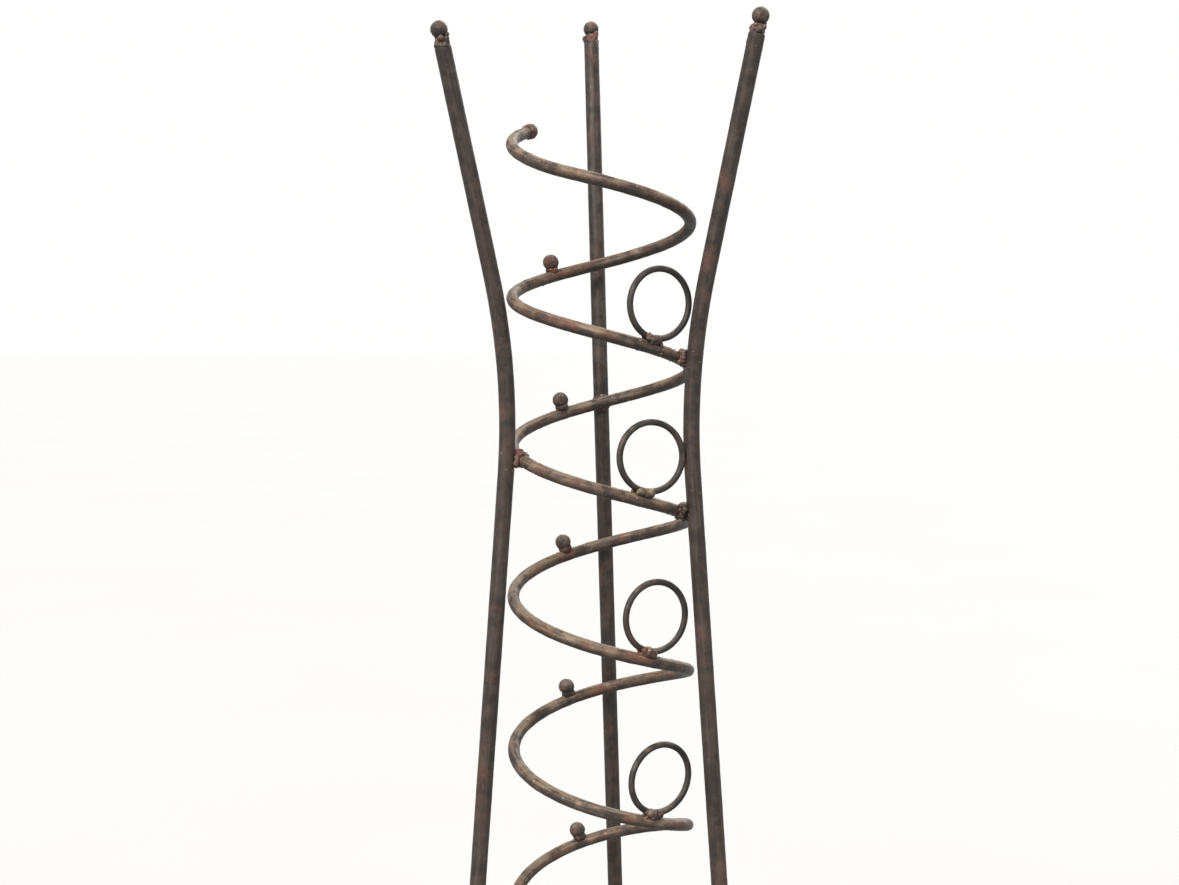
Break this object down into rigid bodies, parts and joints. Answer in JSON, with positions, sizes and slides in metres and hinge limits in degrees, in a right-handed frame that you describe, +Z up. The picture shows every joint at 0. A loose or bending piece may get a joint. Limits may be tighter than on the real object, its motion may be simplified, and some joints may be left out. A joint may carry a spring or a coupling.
{
  "type": "wine rack",
  "caption": "Free-standing wrought-iron wine rack: a long coil of round bar welded inside three splayed legs, with an upright neck ring and a stop ball on every turn.",
  "frame": {"origin": "on the floor, at the middle of the box that the three feet span", "axes": "+Z up; +Y towards the back leg, -Y towards the viewer who faces the neck rings; +X to that viewer's right"},
  "size_m": [0.3108, 0.3262, 1.4918],
  "materials": {
    "leg_iron": "dark brown-black painted mild steel bar, rubbed to brown along the front",
    "coil_iron": "dark brown-black painted mild steel bar with rust-brown wear on its upper side",
    "ring_iron": "dark painted thin steel bar, slightly worn",
    "ball_iron": "dark painted steel ball, worn brown",
    "weld_bead": "lumpy weld metal, golden brown where the finish has worn off"
  },
  "bodies": {
    "root": {"finial_back": "ball_iron", "finial_left": "ball_iron", "finial_right": "ball_iron", "finial_weld_back": "weld_bead", "finial_weld_left": "weld_bead", "finial_weld_right": "weld_bead", "joint_weld_back_foot": "weld_bead", "joint_weld_back_waist": "weld_bead", "joint_weld_left_foot": "weld_bead", "joint_weld_left_waist": "weld_bead", "joint_weld_right_foot": "weld_bead", "joint_weld_right_lower_waist": "weld_bead", "joint_weld_right_upper_waist": "weld_bead", "leg_back": "leg_iron", "leg_left": "leg_iron", "leg_right": "leg_iron", "neck_ring_1": "ring_iron", "neck_ring_2": "ring_iron", "neck_ring_3": "ring_iron", "neck_ring_4": "ring_iron", "neck_ring_5": "ring_iron", "neck_ring_6": "ring_iron", "neck_ring_7": "ring_iron", "neck_ring_8": "ring_iron", "neck_ring_weld_1": "weld_bead", "neck_ring_weld_2": "weld_bead", "neck_ring_weld_3": "weld_bead", "neck_ring_weld_4": "weld_bead", "neck_ring_weld_5": "weld_bead", "neck_ring_weld_6": "weld_bead", "neck_ring_weld_7": "weld_bead", "neck_ring_weld_8": "weld_bead", "spiral_bar": "coil_iron", "spiral_end_ball": "ball_iron", "stop_ball_1": "ball_iron", "stop_ball_2": "ball_iron", "stop_ball_3": "ball_iron", "stop_ball_4": "ball_iron", "stop_ball_5": "ball_iron", "stop_ball_6": "ball_iron", "stop_ball_7": "ball_iron", "stop_ball_8": "ball_iron", "stop_ball_weld_1": "weld_bead", "stop_ball_weld_2": "weld_bead", "stop_ball_weld_3": "weld_bead", "stop_ball_weld_4": "weld_bead", "stop_ball_weld_5": "weld_bead", "stop_ball_weld_6": "weld_bead", "stop_ball_weld_7": "weld_bead", "stop_ball_weld_8": "weld_bead"}
  },
  "joints": []
}
